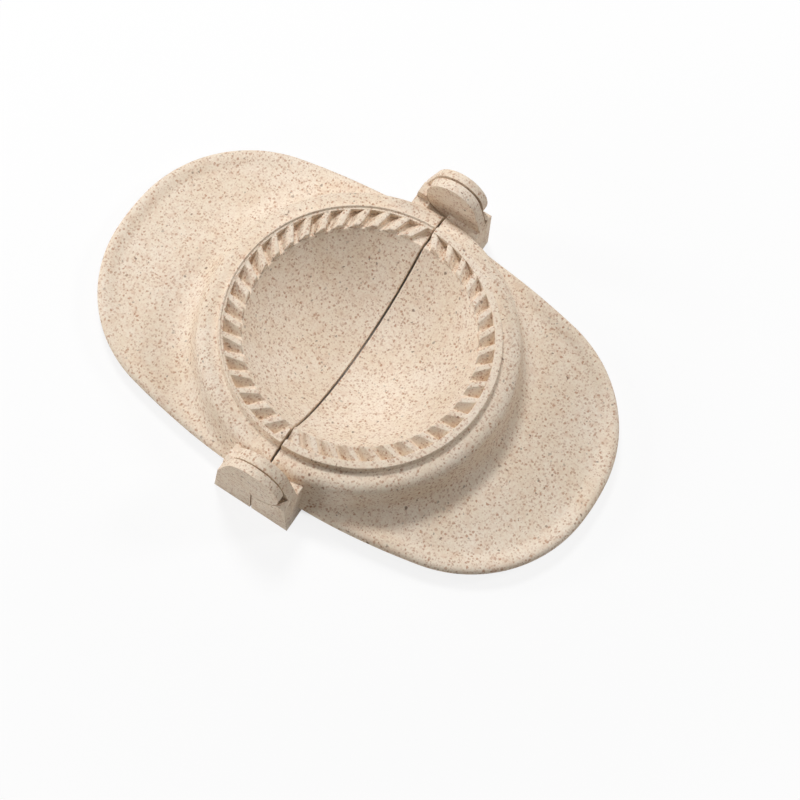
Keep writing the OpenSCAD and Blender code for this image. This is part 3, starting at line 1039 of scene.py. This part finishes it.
def white_to_camera(tree, shader, output, amount):
    """Lets the camera, and mirror-like and clear surfaces, see plain white in place of part of a shader.

    The amount is a number or a socket.
    """
    path = tree.nodes.new("ShaderNodeLightPath").outputs
    seen = path["Is Camera Ray"]
    for other in ("Is Glossy Ray", "Is Transmission Ray"):
        seen = maths(tree, "MAXIMUM", seen, path[other])
    part = maths(tree, "MULTIPLY", seen, amount)
    white = tree.nodes.new("ShaderNodeEmission")
    white.inputs["Color"].default_value = (1, 1, 1, 1)
    mix = tree.nodes.new("ShaderNodeMixShader")
    for socket, value in zip(mix.inputs, (part, shader, white.outputs[0])):
        tree.links.new(value, socket)
    tree.links.new(mix.outputs[0], output.inputs["Surface"])


def add_floor(scene, stage):
    """Plain pale table, which the camera sees nearly white and which keeps the press's shadow."""
    mesh = bpy.data.meshes.new("floor")
    corners = [(x * FLOOR_REACH, y * FLOOR_REACH, 0) for x, y in ((-1, -1), (1, -1), (1, 1), (-1, 1))]
    mesh.from_pydata(corners, [], [(0, 1, 2, 3)])
    floor = bpy.data.objects.new("floor", mesh)
    material = bpy.data.materials.new("Table")
    material.use_nodes = True
    tree = material.node_tree
    shader = tree.nodes["Principled BSDF"]
    shader.inputs["Roughness"].default_value = 0.9
    shader.inputs["Specular IOR Level"].default_value = 0
    seen = tree.nodes.new("ShaderNodeLightPath").outputs["Is Camera Ray"]
    colour = mixed(tree, seen, (*stage.bounce, 1), (*stage.floor, 1))
    fill(tree, shader.inputs["Base Color"], colour)
    where = tree.nodes.new("ShaderNodeTexCoord").outputs["Object"]
    far = vector_maths(tree, "LENGTH", where)["Value"]
    beside = remapped(tree, far, stage.hidden, stage.hidden + HIDDEN_EDGE)
    whiter = remapped(tree, far, stage.white_far / 3, stage.white_far, stage.floor_white, 1)
    amount = maths(tree, "MULTIPLY", beside, whiter)
    white_to_camera(tree, shader.outputs[0], tree.nodes["Material Output"], amount)
    mesh.materials.append(material)
    scene.collection.objects.link(floor)


def add_light(scene, stage, name, azimuth, elevation, strength, softness):
    """A soft round lamp that faces the press from a direction, given in degrees."""
    az, el = math.radians(azimuth), math.radians(elevation)
    toward = Vector((math.cos(el) * math.cos(az), math.cos(el) * math.sin(az), math.sin(el)))
    lamp = bpy.data.lights.new(name, "AREA")
    lamp.shape = "DISK"
    lamp.size = 2 * stage.lamp_distance * math.tan(softness / 2)
    lamp.energy = strength * math.pi * stage.lamp_distance ** 2
    light = bpy.data.objects.new(name, lamp)
    light.location = toward * stage.lamp_distance
    light.rotation_euler = toward.to_track_quat("Z", "Y").to_euler()
    scene.collection.objects.link(light)


def add_lights(scene, stage):
    """Soft lights round the press, and a weak white sky."""
    for name, azimuth, elevation, wider in LAMPS:
        add_light(scene, stage, name, azimuth, elevation, getattr(stage, name), wider * stage.softness)
    world = bpy.data.worlds.new("sky")
    world.use_nodes = True
    tree = world.node_tree
    sky = tree.nodes["Background"]
    sky.inputs["Strength"].default_value = stage.sky
    sky.inputs["Color"].default_value = (1, 1, 1, 1)
    white_to_camera(tree, sky.outputs[0], tree.nodes["World Output"], 1)
    scene.world = world


class PRESS_PT_panel(bpy.types.Panel):
    """Sidebar panel with the press's sizes and builders"""

    bl_idname = "PRESS_PT_panel"
    bl_label = "Empanada Press"
    bl_space_type = "VIEW_3D"
    bl_region_type = "UI"
    bl_category = "Press"

    def draw(self, context):
        for operator in OPERATORS:
            self.layout.operator(operator.bl_idname)
        for name in PROPERTIES:
            group = getattr(context.scene, name)
            box = self.layout.box()
            for key in group.__annotations__:
                box.prop(group, key)


PROPERTIES = {
    "press_shell": PressShellSizes,
    "press_ring": PressRingSizes,
    "press_hinge": PressHingeSizes,
    "press_look": PressLook,
    "press_stage": PressStage,
}
OPERATORS = (PRESS_OT_half_shells, PRESS_OT_teeth, PRESS_OT_hinges, PRESS_OT_stage)
CLASSES = tuple(PROPERTIES.values()) + OPERATORS + (PRESS_PT_panel,)


def register():
    for item in CLASSES:
        bpy.utils.register_class(item)
    for name, group in PROPERTIES.items():
        setattr(bpy.types.Scene, name, PointerProperty(type=group))


def unregister():
    for name in PROPERTIES:
        delattr(bpy.types.Scene, name)
    for item in reversed(CLASSES):
        bpy.utils.unregister_class(item)


def main():
    register()
    bpy.context.scene.view_settings.view_transform = "Standard"
    bpy.ops.press.half_shells()
    bpy.ops.press.teeth()
    bpy.ops.press.hinges()
    bpy.ops.press.stage()
    bpy.context.view_layer.update()


if __name__ == "__main__":
    main()
